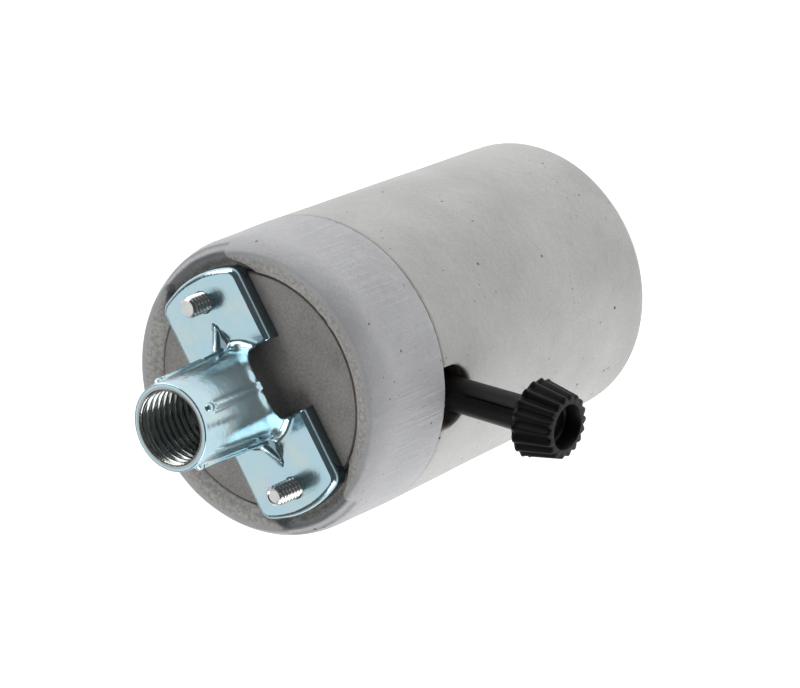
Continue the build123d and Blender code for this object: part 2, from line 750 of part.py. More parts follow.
shell_shank = web_top + terminal_sheet + shell_screw_end - shell_floor_z
shell_seat = Plane(origin=(0, 0, shell_floor_z), x_dir=knob_dir, z_dir=(0, 0, -1))
flipped_places = [(x, -y) for x, y in shell_screw_places]
shell_shanks = [shell_shank for place in flipped_places]
save(
    slotted_screws(shell_seat, flipped_places, terminal_head_radius, terminal_head_height, shell_shanks),
    "shell_screws",
)

with BuildPart() as shell_nut:
    with BuildSketch(chamber):
        with Locations((shell_screw_place, shell_screw_place)):
            Rectangle(terminal_width, terminal_width)
            Circle(screw_radius + tapped_gap, mode=Mode.SUBTRACT)
    extrude(amount=2 * terminal_sheet)
save(shell_nut.part, "shell_nut")

# ------------------------------------------------------------------ centre contact
cup_mouth_z = web_bottom - cup_drop
cup_inner_radius = cup_radius - cup_sheet
cup_ceiling_z = web_bottom + cup_top - cup_sheet
lip_top_z = cup_mouth_z + cup_sheet
tail_top_z = web_top + link_thickness
tail_head_z = tail_top_z + cup_tail_head_height

with BuildPart() as contact_cup:
    with BuildSketch(Plane.XZ):
        with BuildLine():
            Polyline(
                (plunger_radius + plunger_gap, cup_mouth_z),
                (cup_radius, cup_mouth_z),
                (cup_radius, web_bottom - cup_sheet),
                (cup_flange_radius, web_bottom - cup_sheet),
                (cup_flange_radius, web_bottom),
                (cup_radius, web_bottom),
                (cup_radius, web_bottom + cup_top),
                (cup_tail_radius, web_bottom + cup_top),
                (cup_tail_radius, tail_top_z),
                (cup_tail_head_radius, tail_top_z),
                (cup_tail_head_radius, tail_head_z),
                (0, tail_head_z),
                (0, cup_ceiling_z),
                (cup_inner_radius, cup_ceiling_z),
                (cup_inner_radius, lip_top_z),
                (plunger_radius + plunger_gap, lip_top_z),
                close=True,
            )
        make_face()
    revolve(axis=Axis.Z)
save(contact_cup.part, "contact_cup")

plunger_flange_top = lip_top_z + plunger_flange_thickness

with BuildPart() as contact_plunger:
    with BuildSketch(Plane.XY.offset(web_bottom - plunger_reach)):
        Circle(plunger_radius)
    extrude(amount=plunger_reach - cup_drop + cup_sheet)
    fillet(contact_plunger.edges().filter_by(GeomType.CIRCLE).group_by(Axis.Z)[0], plunger_radius / 2)
    with BuildSketch(Plane.XY.offset(lip_top_z)):
        Circle(cup_inner_radius - plunger_gap)
    extrude(amount=plunger_flange_thickness)
    with BuildSketch(Plane.XY.offset(plunger_flange_top)):
        Circle(plunger_pin_radius)
    extrude(amount=plunger_pin_length)
save(contact_plunger.part, "contact_plunger")

spring_clear = spring_wire_radius + fixed_gap
spring_height = cup_ceiling_z - plunger_flange_top - 2 * spring_clear

with BuildPart() as plunger_spring:
    with BuildLine(Plane.XY.offset(plunger_flange_top + spring_clear)) as coil:
        Helix(pitch=spring_height / spring_turns, height=spring_height, radius=spring_radius)
    with BuildSketch(Plane(origin=coil.line @ 0, z_dir=coil.line % 0)):
        Circle(spring_wire_radius)
    sweep(path=coil.line, is_frenet=True)
save(plunger_spring.part, "plunger_spring")

with BuildPart() as centre_link:
    with BuildSketch(chamber):
        with Locations((0, -foot_reach / 2 + cup_tail_head_radius / 2)):
            Rectangle(link_width, foot_reach + cup_tail_head_radius)
        Circle(cup_tail_radius + fixed_gap, mode=Mode.SUBTRACT)
        with Locations((0, -rivet_bearing_place)):
            Circle(rivet_radius + rivet_gap, mode=Mode.SUBTRACT)
    extrude(amount=link_thickness)
save(centre_link.part, "centre_link")
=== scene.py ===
import json
import math

import bmesh
import bpy
import numpy as np
from mathutils import Matrix, Vector, noise


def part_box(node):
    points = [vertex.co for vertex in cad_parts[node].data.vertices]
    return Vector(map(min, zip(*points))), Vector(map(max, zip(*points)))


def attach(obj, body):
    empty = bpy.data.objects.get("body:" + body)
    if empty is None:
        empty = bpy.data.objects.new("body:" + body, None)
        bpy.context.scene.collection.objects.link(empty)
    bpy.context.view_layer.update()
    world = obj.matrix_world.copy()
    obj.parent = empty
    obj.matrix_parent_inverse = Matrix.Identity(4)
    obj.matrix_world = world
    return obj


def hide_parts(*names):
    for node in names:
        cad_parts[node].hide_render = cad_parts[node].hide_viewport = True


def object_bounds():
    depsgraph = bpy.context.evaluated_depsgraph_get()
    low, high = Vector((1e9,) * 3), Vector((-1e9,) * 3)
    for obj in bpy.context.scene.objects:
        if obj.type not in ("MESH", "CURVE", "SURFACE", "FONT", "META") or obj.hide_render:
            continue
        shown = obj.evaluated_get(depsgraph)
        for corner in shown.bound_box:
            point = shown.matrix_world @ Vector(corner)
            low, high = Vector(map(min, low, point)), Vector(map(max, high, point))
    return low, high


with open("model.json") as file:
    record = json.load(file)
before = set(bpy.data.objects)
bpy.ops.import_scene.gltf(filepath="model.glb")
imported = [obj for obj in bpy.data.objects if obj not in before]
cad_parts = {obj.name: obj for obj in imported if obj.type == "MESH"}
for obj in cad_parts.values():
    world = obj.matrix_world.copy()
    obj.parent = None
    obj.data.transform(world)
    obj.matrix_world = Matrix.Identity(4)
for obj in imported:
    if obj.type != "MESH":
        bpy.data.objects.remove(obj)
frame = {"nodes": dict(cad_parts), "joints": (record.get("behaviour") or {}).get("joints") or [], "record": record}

cad_low, cad_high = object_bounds()

MM = 0.001
TURN = 2 * math.pi

# ------------------------------------------------------------------ places, from the frame
record = frame["record"]
mounts = {mount["name"]: mount for mount in record["mounts"]}
knob_joint = next(joint for joint in frame["joints"] if joint["name"] == "knob_turn")
spindle_point = Vector(knob_joint["pos_m"])
spindle_axis = Vector(knob_joint["axis"]).normalized()

body_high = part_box("porcelain_body")[1]
rim_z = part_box("bracket")[1].z
screws_low, screws_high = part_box("long_screws")
shell_low, shell_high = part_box("screw_shell")
body_radius = body_high.x
parting_z = body_high.z
crest_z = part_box("porcelain_cap")[1].z
disc_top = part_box("outer_fibre_disc")[1].z
disc_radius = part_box("outer_fibre_disc")[1].x
bore_radius = mounts["nipple_thread"]["dims"]["r_mm"] * MM

# Sizes that a box doesn't show, as in the part
mouth_radius = 23.75 * MM
strap_height = 2.8 * MM
strap_top = disc_top + strap_height
barrel_rim_radius = 7.3 * MM
barrel_root_radius = 7.9 * MM
flare_radius = 1.8 * MM
rib_end_gap = 2.4 * MM
rib_proud = 0.6 * MM
rib_half_width = 0.75 * MM
arch_radius = 6.3 * MM
arch_z = disc_top + 1.8 * MM
screw_radius = 1.75 * MM
screw_head_radius = 3.45 * MM
screw_head_height = 2.1 * MM
screw_pitch = 0.794 * MM
ear_x = screws_high.x - screw_head_radius
pipe_pitch = 1.411 * MM
pipe_groove_depth = 0.85 * MM


# ------------------------------------------------------------------ mesh tools
def add_object(name, vertices, faces):
    """A new mesh object from points in metres and faces."""
    mesh = bpy.data.meshes.new(name)
    mesh.from_pydata([tuple(v) for v in vertices], [], faces)
    mesh.update()
    obj = bpy.data.objects.new(name, mesh)
    bpy.context.scene.collection.objects.link(obj)
    return obj


def loft(rings, wrap=False, close_ends=False):
    """Faces between rings of equally many points; wrap joins the last ring to the first."""
    count = len(rings[0])
    points = [tuple(p) for ring in rings for p in ring]
    faces = []
    last = len(rings) if wrap else len(rings) - 1
    for j in range(last):
        below = j * count
        above = ((j + 1) % len(rings)) * count
        for i in range(count):
            n = (i + 1) % count
            faces.append((below + i, below + n, above + n, above + i))
    if close_ends:
        faces.append(tuple(reversed(range(count))))
        faces.append(tuple(range((len(rings) - 1) * count, len(rings) * count)))
    return points, faces


def soften(obj, angle=40.0):
    """Smooth shading, with edges sharper than the angle kept sharp."""
    obj.data.shade_smooth()
    obj.data.set_sharp_from_angle(angle=math.radians(angle))
    return obj


def coordinates(mesh):
    """The mesh's points as an array."""
    flat = np.empty(3 * len(mesh.vertices), np.float64)
    mesh.vertices.foreach_get("co", flat)
    return flat.reshape(-1, 3)


def set_coordinates(mesh, points):
    """Write an array of points back to the mesh."""
    mesh.vertices.foreach_set("co", points.astype(np.float32).ravel())
    mesh.update()


def edge_pairs(mesh):
    """The two points of each edge."""
    flat = np.empty(2 * len(mesh.edges), np.int64)
    mesh.edges.foreach_get("vertices", flat)
    return flat.reshape(-1, 2)


def relaxed(points, edges, passes, share=0.5):
    """Points moved towards the mean of their neighbours, a few times over."""
    first, second = edges[:, 0], edges[:, 1]
    count = len(points)
    degree = np.bincount(first, minlength=count) + np.bincount(second, minlength=count)
    for _ in range(passes):
        total = np.empty_like(points)
        for axis in range(3):
            column = points[:, axis]
            total[:, axis] = np.bincount(first, column[second], count)
            total[:, axis] += np.bincount(second, column[first], count)
        points = points + share * (total / degree[:, None] - points)
    return points


def even_copy(node, name, voxel, passes, extras=()):
    """A fine, even mesh of a CAD node, merged with extra closed shapes and lightly rounded."""
    blank = bmesh.new()
    blank.from_mesh(frame["nodes"][node].data)
    for points, faces in extras:
        made = [blank.verts.new(p) for p in points]
        for face in faces:
            blank.faces.new([made[i] for i in face])
    mesh = bpy.data.meshes.new(name)
    blank.to_mesh(mesh)
    blank.free()
    obj = bpy.data.objects.new(name, mesh)
    bpy.context.scene.collection.objects.link(obj)
    remesh = obj.modifiers.new("even", "REMESH")
    remesh.mode = "VOXEL"
    remesh.voxel_size = voxel
    graph = bpy.context.evaluated_depsgraph_get()
    fine = bpy.data.meshes.new_from_object(obj.evaluated_get(graph))
    obj.modifiers.clear()
    obj.data = fine
    set_coordinates(fine, relaxed(coordinates(fine), edge_pairs(fine), passes))
    fine.shade_smooth()
    return obj


def ellipsoid(centre, radii, steps=16):
    """Points and faces of a closed ellipsoid."""
    rings = []
    for j in range(1, steps):
        polar = math.pi * j / steps
        ring = []
        for i in range(2 * steps):
            around = math.pi * i / steps
            ring.append(centre + Vector((
                radii[0] * math.sin(polar) * math.cos(around),
                radii[1] * math.sin(polar) * math.sin(around),
                -radii[2] * math.cos(polar),
            )))
        rings.append(ring)
    return loft(rings, close_ends=True)


# ------------------------------------------------------------------ material tools
class Recipe:
    """A Principled material, with short ways to add and join nodes."""

    def __init__(self, name):
        self.material = bpy.data.materials.new(name)
        self.material.use_nodes = True
        self.nodes = self.material.node_tree.nodes
        self.links = self.material.node_tree.links
        self.shader = self.nodes["Principled BSDF"]
        self.place = self.nodes.new("ShaderNodeTexCoord").outputs["Object"]

    def set(self, **values):
        """Fixed values on the shader's own sockets."""
        for name, value in values.items():
            label = name.replace("_", " ").title().replace("Ior", "IOR")
            self.shader.inputs[label].default_value = value

    def add(self, kind, inputs=None, **settings):
        """A node with its settings, and numbers or sockets for its inputs."""
        node = self.nodes.new(kind)
        for name, value in settings.items():
            setattr(node, name, value)
        for name, value in (inputs or {}).items():
            if isinstance(value, bpy.types.NodeSocket):
                self.links.new(value, node.inputs[name])
            else:
                node.inputs[name].default_value = value
        return node

    def stretched(self, scale):
        """Object coordinates scaled by three factors."""
        return self.add("ShaderNodeMapping", {"Vector": self.place, "Scale": scale}).outputs["Vector"]

    def noise(self, scale, detail=2.0, rough=0.5, place=None):
        """Noise from 0 to 1 at so many features a metre."""
        inputs = {"Vector": place or self.place, "Scale": scale, "Detail": detail, "Roughness": rough}
        return self.add("ShaderNodeTexNoise", inputs).outputs["Fac"]

    def math(self, operation, a, b=0.0, c=0.0, clamp=False):
        """One arithmetic step."""
        node = self.add("ShaderNodeMath", {0: a, 1: b, 2: c}, operation=operation, use_clamp=clamp)
        return node.outputs[0]

    def ramp(self, value, low, high, start=0.0, end=1.0):
        """The value's stretch from low to high, eased onto start to end."""
        inputs = {"Value": value, "From Min": low, "From Max": high, "To Min": start, "To Max": end}
        return self.add("ShaderNodeMapRange", inputs, interpolation_type="SMOOTHSTEP").outputs["Result"]

    def mix(self, factor, first, second, blend="MIX"):
        """Two colours mixed by a factor."""
        node = self.add("ShaderNodeMix", data_type="RGBA", blend_type=blend)
        pairs = ((node.inputs[0], factor), (node.inputs[6], first), (node.inputs[7], second))
        for socket, value in pairs:
            if isinstance(value, bpy.types.NodeSocket):
                self.links.new(value, socket)
            else:
                socket.default_value = value
        return node.outputs[2]

    def specks(self, scale, size, presence):
        """1 on small round specks: presence is the share of cells that hold one."""
        inputs = {"Vector": self.place, "Scale": scale, "Randomness": 1.0}
        cells = self.add("ShaderNodeTexVoronoi", inputs)
        split = self.add("ShaderNodeSeparateColor", {"Color": cells.outputs["Color"]})
        limit = self.math("MULTIPLY", split.outputs[1], size)
        inside = self.math("LESS_THAN", cells.outputs["Distance"], limit)
        held = self.math("LESS_THAN", split.outputs[0], presence)
        return self.math("MULTIPLY", inside, held)

    def radius(self):
        """Distance from the lampholder's axis, and the height, in metres."""
        split = self.add("ShaderNodeSeparateXYZ", {"Vector": self.place})
        squares = self.math("MULTIPLY", split.outputs[0], split.outputs[0])
        total = self.math("MULTIPLY_ADD", split.outputs[1], split.outputs[1], squares)
        return self.math("SQRT", total), split.outputs[2]

    def bump(self, height, distance, strength=1.0, under=None):
        """A bump of so many metres, over another bump if given."""
        inputs = {"Height": height, "Distance": distance, "Strength": strength}
        if under is not None:
            inputs["Normal"] = under
        return self.add("ShaderNodeBump", inputs).outputs["Normal"]

    def finish(self, colour=None, roughness=None, normal=None):
        """Join the results to the shader and give the material."""
        for name, socket in (("Base Color", colour), ("Roughness", roughness), ("Normal", normal)):
            if socket is not None:
                self.links.new(socket, self.shader.inputs[name])
        return self.material


# ------------------------------------------------------------------ materials
def porcelain():
    """Unglazed fired clay: off-white, with fine grain, brown and black specks and pits."""
    r = Recipe("unglazed_porcelain")
    radius, height = r.radius()
    clouds = r.noise(70, 3.0)
    grain = r.noise(2600, 3.0, 0.65)
    warm = r.mix(r.ramp(clouds, 0.3, 0.7), (0.52, 0.513, 0.50, 1), (0.60, 0.595, 0.585, 1))
    cool = r.mix(r.ramp(clouds, 0.3, 0.7), (0.50, 0.50, 0.515, 1), (0.575, 0.575, 0.59, 1))
    base = r.mix(r.ramp(height, parting_z - 0.1 * MM, parting_z + 0.1 * MM), warm, cool)
    base = r.mix(r.ramp(grain, 0.30, 0.75, 0.0, 0.28), base, (0.36, 0.355, 0.345, 1))
    # the sandy, unpressed ring inside the cap's crest
    ring = r.math("MULTIPLY", r.ramp(radius, 0.0229, 0.0221), r.ramp(height, 0.0740, 0.0748))
    grit = r.ramp(r.noise(1500, 4.0, 0.7), 0.35, 0.65)
    sand = r.mix(grit, (0.40, 0.37, 0.34, 1), (0.64, 0.615, 0.58, 1))
    base = r.mix(r.math("MULTIPLY", ring, 0.9), base, sand)
    # painted shade in the knob's notch, under the shaft: dark brown and uneven
    near = r.add("ShaderNodeVectorMath", {0: r.place, 1: tuple(notch_centre)}, operation="DISTANCE")
    notch_shade = r.ramp(near.outputs["Value"], 0.0068, 0.0052, 0.0, 0.9)
    inside = r.ramp(radius, 0.0248, 0.0240)
    uneven = r.ramp(r.noise(500), 0.3, 0.6, 0.5, 1.0)
    notch_shade = r.math("MULTIPLY", r.math("MULTIPLY", notch_shade, inside), uneven)
    base = r.mix(notch_shade, base, (0.12, 0.065, 0.03, 1))
    base = r.mix(r.specks(330, 0.095, 0.45), base, (0.20, 0.155, 0.12, 1))
    base = r.mix(r.specks(900, 0.17, 0.22), base, (0.31, 0.25, 0.19, 1))
    base = r.mix(r.specks(150, 0.045, 0.22), base, (0.07, 0.055, 0.045, 1))
    # drag marks along the axis on the cap's side
    side = r.math("MULTIPLY", r.ramp(radius, 0.0243, 0.0247), r.ramp(height, 0.0593, 0.0600))
    side = r.math("MULTIPLY", side, r.ramp(height, 0.0735, 0.0710))
    streaks = r.noise(1.0, 2.0, 0.6, r.stretched((1700, 1700, 70)))
    lines = r.math("MULTIPLY", side, r.ramp(streaks, 0.45, 0.72))
    base = r.mix(r.math("MULTIPLY", lines, 0.22), base, (0.72, 0.72, 0.715, 1))
    rough = r.ramp(grain, 0.2, 0.8, 0.55, 0.72)
    normal = r.bump(r.noise(110, 3.0, 0.55), 0.00045)
    normal = r.bump(r.noise(600, 3.0, 0.6), 0.00016, under=normal)
    normal = r.bump(grain, 0.00009, under=normal)
    normal = r.bump(lines, 0.00005, under=normal)
    normal = r.bump(r.math("MULTIPLY", ring, r.noise(1700, 4.0, 0.7)), 0.00022, under=normal)
    r.set(specular_ior_level=0.42)
    return r.finish(base, rough, normal)


def fibre():
    """Vulcanised fibre: grey-brown pressed board with a fine fleck."""
    r = Recipe("vulcanised_fibre")
    fleck = r.noise(2200, 4.0, 0.7)
    clouds = r.noise(160, 3.0)
    base = r.mix(r.ramp(fleck, 0.3, 0.7), (0.27, 0.250, 0.236, 1), (0.41, 0.388, 0.370, 1))
    base = r.mix(r.ramp(clouds, 0.35, 0.7, 0.0, 0.25), base, (0.58, 0.56, 0.54, 1))
    base = r.mix(r.specks(1100, 0.22, 0.12), base, (0.42, 0.40, 0.37, 1))
    normal = r.bump(fleck, 0.00004)
    normal = r.bump(r.noise(300), 0.00006, under=normal)
    r.set(specular_ior_level=0.25)
    return r.finish(base, r.ramp(fleck, 0.2, 0.8, 0.72, 0.9), normal)


def plated(name, tint, stain, rough_low, rough_high, stain_share=0.35, brush=0.00001):
    """Plated metal: a tint with faint stains, a varying gloss and fine rub marks."""
    r = Recipe(name)
    patches = r.noise(190, 4.0, 0.6)
    fine = r.noise(2400, 3.0, 0.6)
    base = r.mix(r.ramp(patches, 0.45, 0.75, 0.0, stain_share), tint, stain)
    base = r.mix(r.ramp(fine, 0.55, 0.8, 0.0, 0.12), base, (0.34, 0.36, 0.38, 1))
    rub = r.noise(1.0, 2.0, 0.5, r.stretched((300, 2600, 900)))
    gloss = r.ramp(patches, 0.2, 0.8, rough_low, rough_high)
    rough = r.math("ADD", gloss, r.ramp(rub, 0.5, 0.8, 0.0, 0.06))
    normal = r.bump(r.noise(520, 2.0), 0.00002)
    normal = r.bump(rub, brush, under=normal)
    r.set(metallic=1.0)
    return r.finish(base, rough, normal)


def zinc():
    """Blue-passivated zinc, thinner and greyer in the bore, with a painted dark reflection on the turned-down
    edges.
    """
    r = Recipe("zinc_plate")
    patches = r.noise(190, 4.0, 0.6)
    fine = r.noise(2400, 3.0, 0.6)
    radius, height = r.radius()
    base = r.mix(r.ramp(patches, 0.40, 0.75, 0.0, 0.6), (0.46, 0.65, 0.72, 1), (0.60, 0.68, 0.65, 1))
    base = r.mix(r.ramp(r.noise(420, 3.0), 0.50, 0.72, 0.0, 0.45), base, (0.40, 0.62, 0.76, 1))
    base = r.mix(r.ramp(r.noise(250, 2.0), 0.56, 0.74, 0.0, 0.30), base, (0.60, 0.60, 0.72, 1))
    base = r.mix(r.ramp(fine, 0.55, 0.8, 0.0, 0.15), base, (0.30, 0.33, 0.36, 1))
    # painted dark reflection: the turned-down flanks outside the barrel are darkened nearly to black, for the dim
    # cap and disc they mirror
    edge = r.ramp(height, strap_top - 0.66 * MM, strap_top - 0.86 * MM)
    edge = r.math("MULTIPLY", edge, r.ramp(radius, 0.0075, 0.0088))
    base = r.mix(r.math("MULTIPLY", edge, 0.85), base, (0.10, 0.13, 0.15, 1))
    inside = r.ramp(radius, 0.0069, 0.0066)
    base = r.mix(r.math("MULTIPLY", inside, 0.85), base, (0.40, 0.40, 0.37, 1))
    rub = r.noise(1.0, 2.0, 0.5, r.stretched((300, 2600, 900)))
    rough = r.math("ADD", r.ramp(patches, 0.2, 0.8, 0.13, 0.21), r.ramp(rub, 0.5, 0.8, 0.0, 0.05))
    normal = r.bump(r.noise(260, 3.0), 0.00005)
    normal = r.bump(r.noise(900, 2.0), 0.000015, under=normal)
    normal = r.bump(rub, 0.000008, under=normal)
    r.set(metallic=0.94)
    return r.finish(base, rough, normal)


def moulded(name, dark, light, rough_low, rough_high, grain=0.00002, gloss=0.25):
    """Moulded plastic: a faint flow pattern, fine texture and scuffs."""
    r = Recipe(name)
    flow = r.noise(220, 3.0)
    fine = r.noise(3000, 3.0, 0.6)
    scuff = r.noise(1.0, 3.0, 0.6, r.stretched((900, 900, 220)))
    base = r.mix(r.ramp(flow, 0.3, 0.75), dark, light)
    base = r.mix(r.ramp(scuff, 0.62, 0.8, 0.0, 0.35), base, tuple(3.2 * c for c in light[:3]) + (1,))
    rough = r.ramp(fine, 0.2, 0.8, rough_low, rough_high)
    normal = r.bump(fine, grain)
    normal = r.bump(scuff, 0.00002, under=normal)
    r.set(specular_ior_level=gloss)
    return r.finish(base, rough, normal)


notch_depth = 4.5 * MM
notch_centre = Vector((0, 0, parting_z - notch_depth)) + spindle_axis * (body_radius - 1.5 * MM)

MATERIALS = {
    "porcelain": porcelain(),
    "vulcanised_fibre": fibre(),
    "zinc_plate": zinc(),
    "plated_screw": plated("nickel_screws", (0.66, 0.67, 0.66, 1), (0.50, 0.50, 0.47, 1), 0.16, 0.26),
    "knob_plastic": moulded(
        "black_plastic", (0.0035, 0.0035, 0.0042, 1), (0.007, 0.007, 0.0085, 1), 0.36, 0.50, gloss=0.20
    ),
    "spindle_steel": plated("bright_steel", (0.50, 0.50, 0.50, 1), (0.40, 0.37, 0.33, 1), 0.25, 0.40),
    "phenolic": moulded("brown_phenolic", (0.06, 0.03, 0.018, 1), (0.11, 0.055, 0.03, 1), 0.35, 0.5),
    "brass": plated("brass", (0.72, 0.53, 0.24, 1), (0.52, 0.36, 0.17, 1), 0.22, 0.36),
    "spring_bronze": plated("spring_bronze", (0.62, 0.40, 0.22, 1), (0.45, 0.27, 0.15, 1), 0.24, 0.38),
    "nickel_shell": plated("nickel_shell", (0.66, 0.63, 0.56, 1), (0.58, 0.50, 0.36, 1), 0.16, 0.28),
}


def dress(obj, slot):
    """Give a piece its slot's material."""
    obj.data.materials.clear()
    obj.data.materials.append(MATERIALS[slot])
    return obj


for part in record["subparts"]:
    for held in frame["nodes"][part["node"]].material_slots:
        held.material = MATERIALS[part["material_slot"]]


def place(obj, slot, body, *nodes):
    """Dress a piece, set it on its body and hide the nodes it stands for."""
    dress(obj, slot)
    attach(obj, body)
    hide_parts(*nodes)
    return obj


# ------------------------------------------------------------------ porcelain
def waviness(points, wave, amount):
    """Radial wobble of a hand-finished piece."""
    out = points.copy()
    radius = np.hypot(points[:, 0], points[:, 1])
    wobble = np.array([noise.noise(Vector(p) * wave) for p in points]) * amount
    keep = radius > 1 * MM
    for axis in (0, 1):
        out[keep, axis] += points[keep, axis] / radius[keep] * wobble[keep]
    return out


def snap_radius(points, nominal, near, low, high):
    """Points near a nominal wall radius, between two heights, set exactly on it."""
    radius = np.hypot(points[:, 0], points[:, 1])
    wall = nominal(points[:, 2])
    on = (np.abs(radius - wall) < near) & (points[:, 2] > low) & (points[:, 2] < high)
    scale = np.where(on, wall / np.maximum(radius, 1e-9), 1.0)
    out = points.copy()
    out[:, 0] *= scale
    out[:, 1] *= scale
    return out


body_voxel = 0.32 * MM
cap_voxel = 0.24 * MM
sheet_voxel = 0.14 * MM


def fired_body():
    """The skirt with its cavity, web and knob notch, edges rounded as fired clay has them."""
    obj = even_copy("porcelain_body", "body_skirt", body_voxel, 2)
    points = coordinates(obj.data)
    slope = (body_radius - mouth_radius) / parting_z
    margin = 0.7 * MM
    side_low, side_high = 2.6 * MM, parting_z - margin
    points = snap_radius(points, lambda z: mouth_radius + slope * z, 0.12 * MM, side_low, side_high)
    set_coordinates(obj.data, waviness(points, 90.0, 0.05 * MM))
    return place(obj, "porcelain", "socket", "porcelain_body")


def shallow_notches(points):
    """The rim notches' floors raised outside the strap's ends, as a smooth shallow dip."""
    radius, height = np.hypot(points[:, 0], points[:, 1]), points[:, 2]
    crest_radius, side_height = 23.4 * MM, 13.85 * MM
    notch_half_width, inner_radius, blend = 12.5 * MM, 21.2 * MM, 2.2 * MM
    fall = (crest_z - parting_z - side_height) / (body_radius - crest_radius)
    nominal = crest_z - fall * np.clip(radius - crest_radius, 0, None)
    notch = (np.abs(points[:, 1]) < notch_half_width) & (radius > inner_radius) & (height > disc_top - MM)
    notch &= height < nominal - 0.05 * MM
    share = np.clip((radius - inner_radius) / blend, 0, 1)
    out = points.copy()
    out[notch, 2] += 0.5 * (share * (nominal - height))[notch]
    return out


def narrow_key(points):
    """The key groove in the recess wall drawn in to half its depth."""
    recess, groove_radius, blend = disc_radius + 0.4 * MM, 2.4 * MM, 0.7 * MM
    bearing, recess_depth = math.radians(284), 4.5 * MM
    centre = recess * np.array((math.cos(bearing), math.sin(bearing)))
    radius = np.hypot(points[:, 0], points[:, 1])
    away = np.hypot(points[:, 0] - centre[0], points[:, 1] - centre[1])
    share = 0.5 * np.clip((groove_radius - away) / blend, 0, 1)
    share *= points[:, 2] > disc_top - recess_depth
    scale = 1 - share * np.clip(radius - recess, 0, None) / np.maximum(radius, 1e-9)
    out = points.copy()
    out[:, 0] *= scale
    out[:, 1] *= scale
    return out


def fired_cap():
    """The cap with its crest, recess and rim notches."""
    obj = even_copy("porcelain_cap", "body_cap", cap_voxel, 3)
    points = coordinates(obj.data)
    margin = 0.6 * MM
    side_top = parting_z + 13.4 * MM
    points = snap_radius(points, lambda z: body_radius + 0 * z, 0.12 * MM, parting_z + margin, side_top)
    set_coordinates(obj.data, waviness(narrow_key(shallow_notches(points)), 140.0, 0.06 * MM))
    return place(obj, "porcelain", "socket", "porcelain_cap")


fired_body()
fired_cap()


# ------------------------------------------------------------------ bracket
def dart(side):
    """Sharp fold that runs from the barrel's rib down onto an ear."""
    inner, tip = barrel_rim_radius - 0.6 * MM, 13.4 * MM
    half, rise, under = 1.9 * MM, 6.2 * MM, strap_top - 0.5 * MM
    rows = []
    steps = 16
    for j in range(steps + 1):
        t = j / steps
        x = side * (inner + (tip - inner) * t)
        ridge = rise * (1 - t) ** 1.9 + 0.05 * MM
        width = half * (1 - t) ** 0.9 + 0.06 * MM
        profile = []
        for k in range(9):
            s = -1 + k / 4
            profile.append((x, side * s * width, strap_top + ridge * (1 - abs(s)) ** 1.5))
        profile.append((x, side * width, under))
        profile.append((x, -side * width, under))
        rows.append(profile)
    return loft(rows, close_ends=True)


def rib_bump(bearing):
    """Round pip at a rib's end."""
    reach = barrel_rim_radius + 0.02 * MM
    centre = Vector((reach * math.cos(bearing), reach * math.sin(bearing), rim_z - rib_end_gap))
    return ellipsoid(centre, (0.78 * MM, 0.78 * MM, 0.95 * MM))


def rib_swell(bearing, height):
    """How far the barrel's four smooth ribs stand out, fading at their upper ends."""
    gap = (bearing / (TURN / 4) + 0.5) % 1.0 - 0.5
    across = gap * TURN / 4 * barrel_rim_radius
    fade = np.clip((rim_z - rib_end_gap - height) / (0.5 * MM), 0, 1)
    return rib_proud * np.exp(-(across / rib_half_width) ** 2) * fade


def thread_groove(height, bearing, pitch):
    """0 on a thread's crest and 1 at its root, on a right-handed helix."""
    phase = height / pitch - bearing / TURN
    share = np.abs(phase - np.floor(phase) - 0.5) * 2
    return np.clip((share - 0.14) / 0.74, 0, 1)


def arch_edge(points, mesh):
    """Points near a side arch set on its round edge and smoothed, with the wall above turned outwards."""
    across, height = points[:, 0], points[:, 2]
    beyond = np.hypot(across, height - arch_z) - arch_radius
    on = (np.abs(beyond) < 0.16 * MM) & (height > disc_top + 0.4 * MM)
    scale = np.where(on, arch_radius / (beyond + arch_radius), 1.0)
    out = points.copy()
    out[:, 0] = across * scale
    out[:, 2] = arch_z + (height - arch_z) * scale
    near = np.clip((0.9 * MM - np.abs(beyond)) / (0.4 * MM), 0, 1) * (height > strap_top)
    out += near[:, None] * (relaxed(out, edge_pairs(mesh), 10) - out)
    lip_reach, lip = 1.6 * MM, 0.45 * MM
    share = np.clip(1 - beyond / lip_reach, 0, 1) ** 2
    share *= np.clip((height - strap_top) / (1.6 * MM), 0, 1) * (np.abs(points[:, 1]) > 3 * MM)
    share *= np.clip((9.0 * MM - np.abs(across)) / (3 * MM), 0, 1)
    out[:, 1] += np.sign(points[:, 1]) * lip * share
    return out


